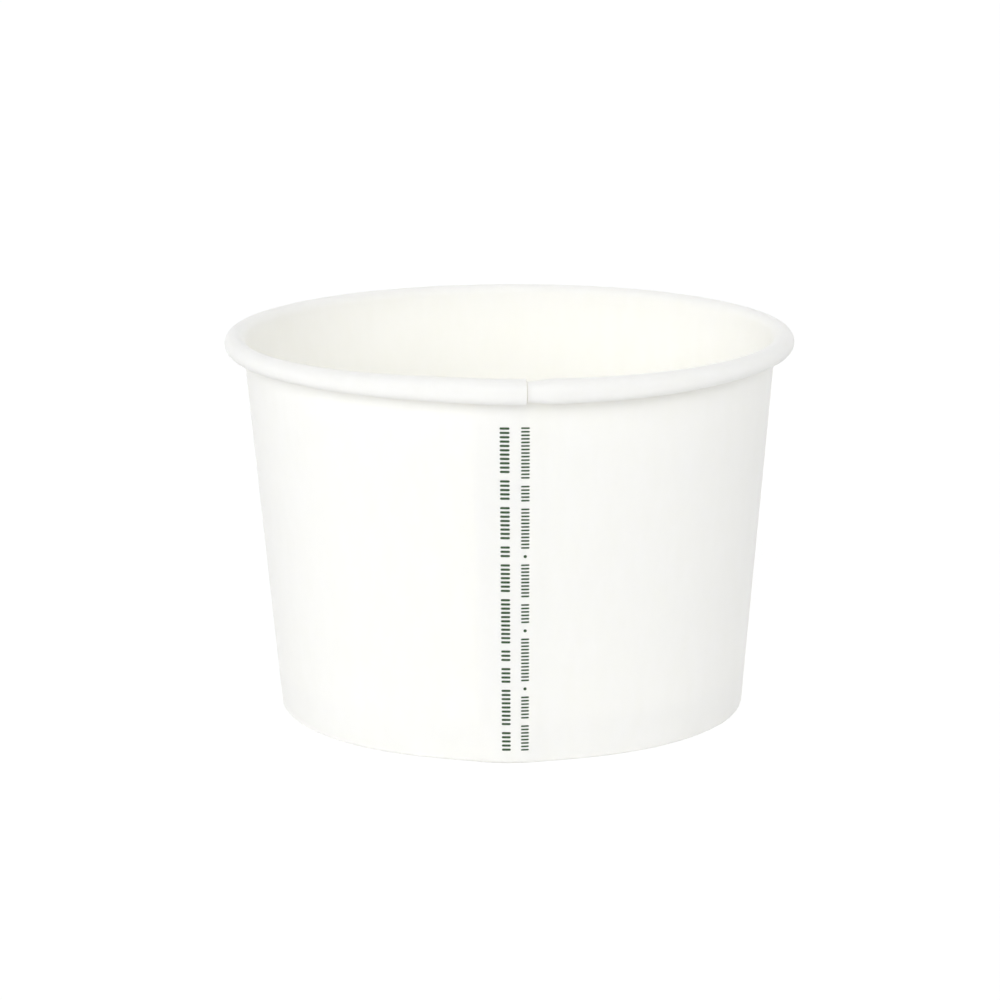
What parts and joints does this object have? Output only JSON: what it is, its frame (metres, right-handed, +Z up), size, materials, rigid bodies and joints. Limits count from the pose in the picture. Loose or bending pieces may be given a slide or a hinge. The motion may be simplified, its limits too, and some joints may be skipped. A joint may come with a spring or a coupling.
{
  "type": "paper sundae cup",
  "caption": "Shallow tapered paper tub with a rolled rim, a lapped side seam and a recessed base, for a sundae or another cold dessert.",
  "frame": {"origin": "middle of the foot, on the surface that the cup stands on", "axes": "+Z up the cup's axis through the open mouth; -Y towards the side seam"},
  "size_m": [0.09, 0.09, 0.06],
  "materials": {
    "wall_board": "white coated board, smooth satin",
    "base_board": "white coated board, smooth satin"
  },
  "bodies": {
    "root": {"side_wall": "wall_board", "base_disc": "base_board"}
  },
  "joints": []
}
